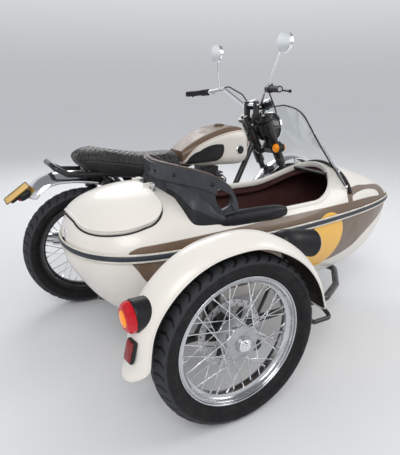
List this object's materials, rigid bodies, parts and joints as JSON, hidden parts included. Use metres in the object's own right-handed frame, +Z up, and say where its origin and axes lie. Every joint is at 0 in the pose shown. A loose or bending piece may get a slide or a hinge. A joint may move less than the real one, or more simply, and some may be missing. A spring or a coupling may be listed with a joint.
{
  "type": "motorcycle with sidecar",
  "caption": "Retro motorcycle with a boat-shaped one-seat sidecar: spoked wheels, teardrop tank, curved windscreen, padded cockpit and a hinged boot lid.",
  "frame": {"origin": "on the ground, under the middle of the whole outfit's bounding box", "axes": "+X forwards along the direction of travel, +Y to the rider's left, +Z up; the sidecar is on the right, at -Y"},
  "size_m": [2.1889, 1.7199, 1.4506],
  "materials": {
    "cream_paint": "satin",
    "chrome": "polished",
    "black_paint": "gloss",
    "cast_alloy": "satin",
    "black_alloy": "matte",
    "rubber_tyre": "matte",
    "rubber": "matte",
    "seat_leather": "satin",
    "cockpit_leather": "satin",
    "grey_plastic": "matte",
    "slate_rubber": "satin",
    "clear_plastic": "clear",
    "red_lens": "gloss",
    "clear_lens": "clear",
    "plate_white": "satin",
    "amber_lens": "gloss"
  },
  "bodies": {
    "chassis": {"air_box": "black_paint", "armrest": "seat_leather", "backrest": "cockpit_leather", "bulkhead": "grey_plastic", "cockpit_floor": "grey_plastic", "engine": "black_alloy", "exhaust": "chrome", "front_lamp": "black_paint", "front_lens": "clear_lens", "fuel_tank": "cream_paint", "grab_handle": "rubber", "knee_pads": "rubber", "lid_hinge": "cast_alloy", "motorcycle_frame": "black_paint", "mudguard_stays": "black_paint", "number_plate": "plate_white", "plate_bracket": "black_paint", "rear_lamp": "black_paint", "rear_lens": "red_lens", "rear_mudguard": "chrome", "reflector": "red_lens", "rub_rail": "slate_rubber", "screen_foot": "rubber", "seat": "seat_leather", "seat_collar": "grey_plastic", "shock_absorbers": "chrome", "side_arm": "black_paint", "side_mudguard": "cream_paint", "side_panels": "black_paint", "sidecar_deck": "cream_paint", "sidecar_frame": "black_paint", "sidecar_hull": "cream_paint", "sidecar_seat": "cockpit_leather", "sidecar_step": "black_paint", "swing_arm": "black_paint", "tail_lamp": "red_lens", "windscreen": "clear_plastic"},
    "fork": {"cables": "rubber", "controls": "black_alloy", "fork": "black_paint", "front_mudguard": "chrome", "gauges": "chrome", "grips": "rubber", "handlebar": "chrome", "headlamp": "black_paint", "headlamp_lens": "clear_lens", "indicators": "amber_lens", "mirrors": "chrome"},
    "front_wheel": {"front_tyre": "rubber_tyre", "front_rim": "chrome"},
    "rear_wheel": {"rear_tyre": "rubber_tyre", "rear_rim": "black_paint"},
    "side_wheel": {"side_tyre": "rubber_tyre", "side_rim": "chrome"},
    "boot_lid": {"boot_lid": "cream_paint"}
  },
  "joints": [
    {"name": "steering", "type": "hinge", "parent": "chassis", "child": "fork", "pos_m": [0.8621, 0.40304, 0], "axis": [-0.454, 0, 0.891], "range_deg": [-44, 32]},
    {"name": "front_wheel_spin", "type": "hinge", "parent": "fork", "child": "front_wheel", "pos_m": [0.7618, 0.40944, 0.33085], "axis": [-0.0931, 0.9945, -0.0475], "continuous": true},
    {"name": "rear_wheel_spin", "type": "hinge", "parent": "chassis", "child": "rear_wheel", "pos_m": [-0.6889, 0.40304, 0.3235], "axis": [0, 1, 0], "continuous": true},
    {"name": "side_wheel_spin", "type": "hinge", "parent": "chassis", "child": "side_wheel", "pos_m": [-0.4809, -0.77996, 0.3235], "axis": [0, 1, 0], "continuous": true},
    {"name": "lid_hinge", "type": "hinge", "parent": "chassis", "child": "boot_lid", "pos_m": [-0.5709, -0.20696, 0.782], "axis": [0, 1, 0], "range_deg": [0, 70]}
  ]
}
